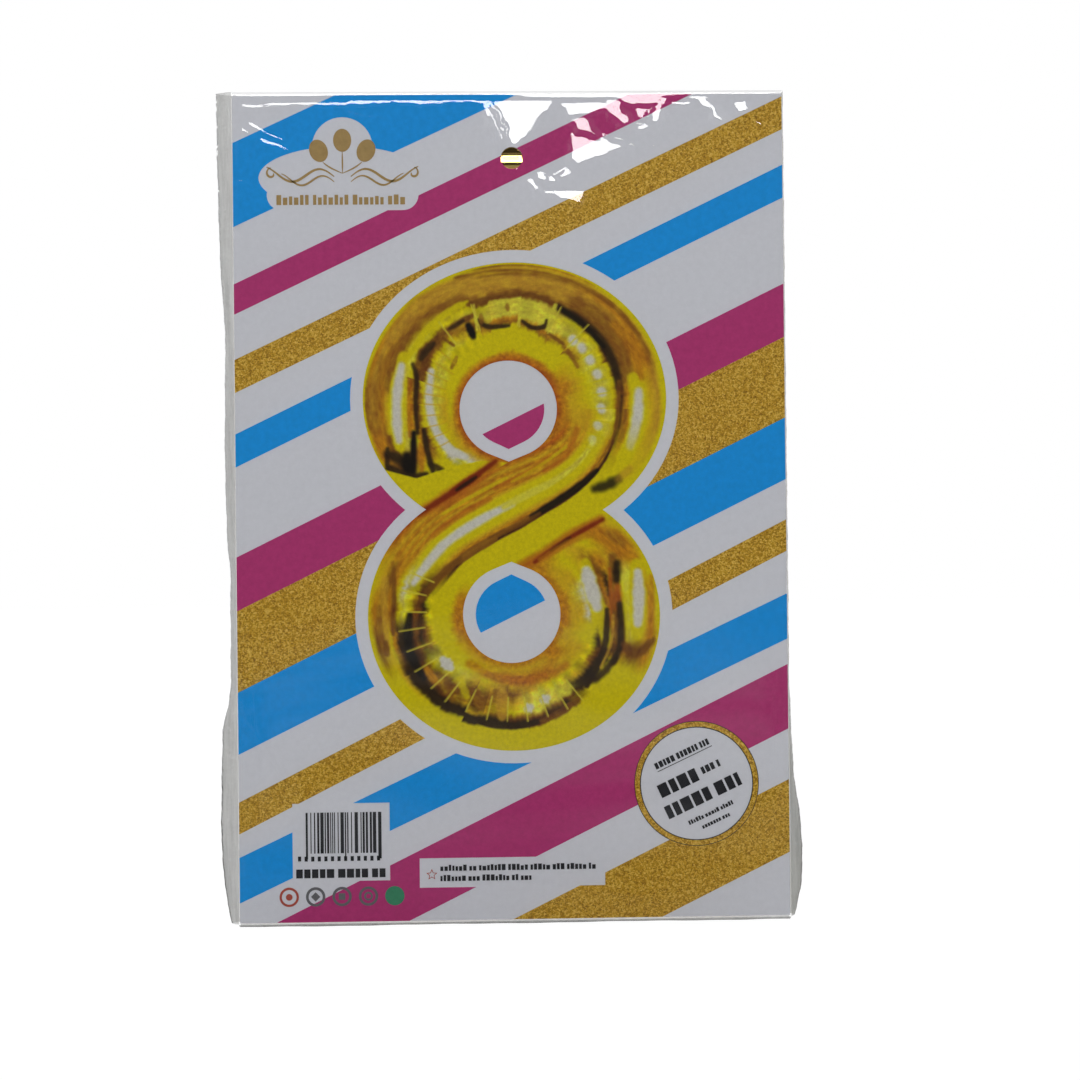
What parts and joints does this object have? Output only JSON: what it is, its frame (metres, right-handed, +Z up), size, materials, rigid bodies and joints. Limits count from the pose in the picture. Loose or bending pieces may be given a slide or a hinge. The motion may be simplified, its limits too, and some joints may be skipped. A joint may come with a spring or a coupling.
{
  "type": "foil number balloon pack",
  "caption": "Foil number balloon folded flat behind a striped printed card with a punched hang hole, in a clear film bag with a folded flap.",
  "frame": {"origin": "centre of the hang hole, on the card's printed face", "axes": "+Z up the card, -Y out of the printed face, +X to the right as the print is read"},
  "size_m": [0.21, 0.0063, 0.3036],
  "materials": {
    "clear_film": "clear biaxially stretched polypropylene film, 0.04 mm, high gloss, slightly creased",
    "welded_film": "two layers of the same clear film, welded or folded, slightly hazy",
    "adhesive": "clear pressure-sensitive adhesive strip, slightly milky",
    "card": "coated white board, smooth",
    "ink_blue": "cyan-blue print on coated board",
    "ink_magenta": "magenta print on coated board",
    "ink_glitter": "printed gold glitter",
    "ink_gold": "printed picture of shiny gold foil",
    "ink_black": "black print on coated board",
    "ink_bronze": "bronze-gold print on coated board",
    "ink_green": "dark green and grey print on coated board",
    "gold_foil": "aluminised polyester film tinted gold, mirror gloss, creased",
    "valve_film": "clear polyethylene valve film",
    "straw": "white polypropylene, smooth"
  },
  "bodies": {
    "bag": {"bag_front_film": "clear_film", "bag_back_film": "clear_film", "side_weld_left": "welded_film", "side_weld_right": "welded_film", "bottom_fold": "welded_film"},
    "flap": {"bag_flap": "clear_film", "flap_fold": "clear_film", "flap_adhesive": "adhesive"},
    "card": {"insert_card": "card", "print_blue_stripes": "ink_blue", "print_magenta_stripes": "ink_magenta", "print_gold_stripes": "ink_glitter", "print_gold_figure": "ink_gold", "print_badge_rim": "ink_glitter", "print_badge_lines": "ink_black", "print_barcode": "ink_black", "print_notice_lines": "ink_black", "print_emblem": "ink_bronze", "print_symbols": "ink_green"},
    "balloon": {"foil_front_web": "gold_foil", "foil_back_web": "gold_foil", "valve_film_inner": "valve_film", "valve_film_outer": "valve_film"},
    "straw": {"inflation_straw": "straw"}
  },
  "joints": [
    {"name": "flap_hinge", "type": "hinge", "parent": "bag", "child": "flap", "pos_m": [0, -0.00045, 0.0244], "axis": [1, 0, 0], "range_deg": [0, 180], "deforming": ["flap_fold"]},
    {"name": "card_slide", "type": "slide", "parent": "bag", "child": "card", "axis": [0, 0, 1], "range_m": [0, 0.31]},
    {"name": "balloon_slide", "type": "slide", "parent": "bag", "child": "balloon", "axis": [0, 0, 1], "range_m": [0, 0.31]},
    {"name": "straw_slide", "type": "slide", "parent": "bag", "child": "straw", "axis": [0, 0, 1], "range_m": [0, 0.28]}
  ]
}
